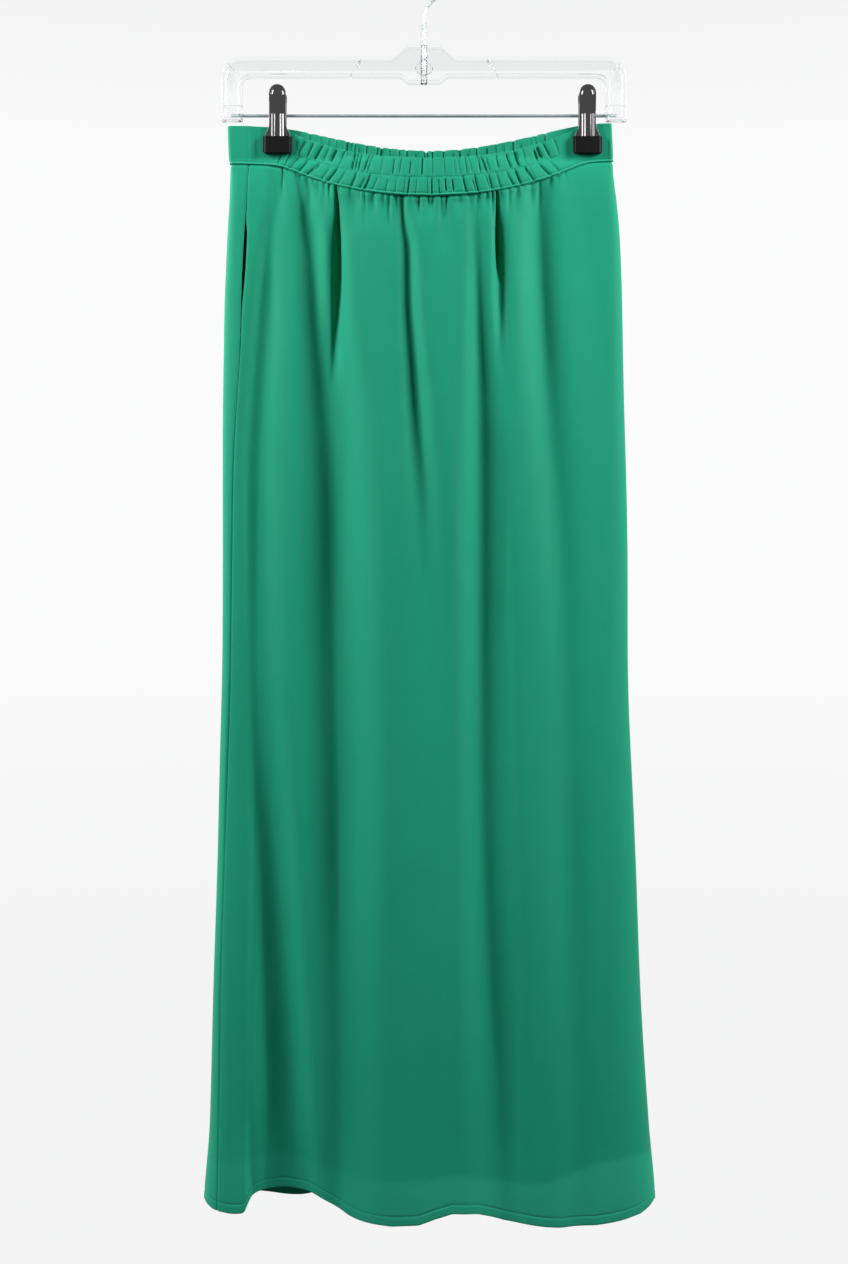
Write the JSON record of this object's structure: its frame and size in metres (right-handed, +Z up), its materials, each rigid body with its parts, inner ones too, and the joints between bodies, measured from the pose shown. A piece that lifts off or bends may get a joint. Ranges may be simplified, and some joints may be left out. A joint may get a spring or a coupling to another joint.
{
  "type": "maxi skirt on clip hanger",
  "caption": "Maxi skirt with a gathered elastic waistband, side pocket and lining, hung by two clips from a clear plastic hanger with a wire hook.",
  "frame": {"origin": "the inside of the hook's top, where the hanger hangs on a rail", "axes": "+X across the skirt, to the right of someone who looks at its front; +Y from the front to the back; +Z up"},
  "size_m": [0.4034, 0.118, 1.116],
  "materials": {
    "skirt_cloth": "matt crepe weave",
    "lining_cloth": "smooth lining weave",
    "clear_plastic": "clear, moulded",
    "steel_wire": "drawn wire",
    "clip_chrome": "plated",
    "clip_rubber": "moulded"
  },
  "bodies": {
    "root": {"waistband_front": "skirt_cloth", "waistband_back": "skirt_cloth", "skirt_front": "skirt_cloth", "skirt_back": "skirt_cloth", "pocket_bag": "lining_cloth", "lining_front": "lining_cloth", "lining_back": "lining_cloth", "hanger_body": "clear_plastic", "hook": "steel_wire", "clip_bar": "steel_wire", "clip_left_plate_front": "clip_chrome", "clip_left_plate_rear": "clip_chrome", "clip_left_pad_front": "clip_rubber", "clip_left_pad_rear": "clip_rubber", "clip_left_spring": "steel_wire", "clip_right_plate_front": "clip_chrome", "clip_right_plate_rear": "clip_chrome", "clip_right_pad_front": "clip_rubber", "clip_right_pad_rear": "clip_rubber", "clip_right_spring": "steel_wire"}
  },
  "joints": []
}
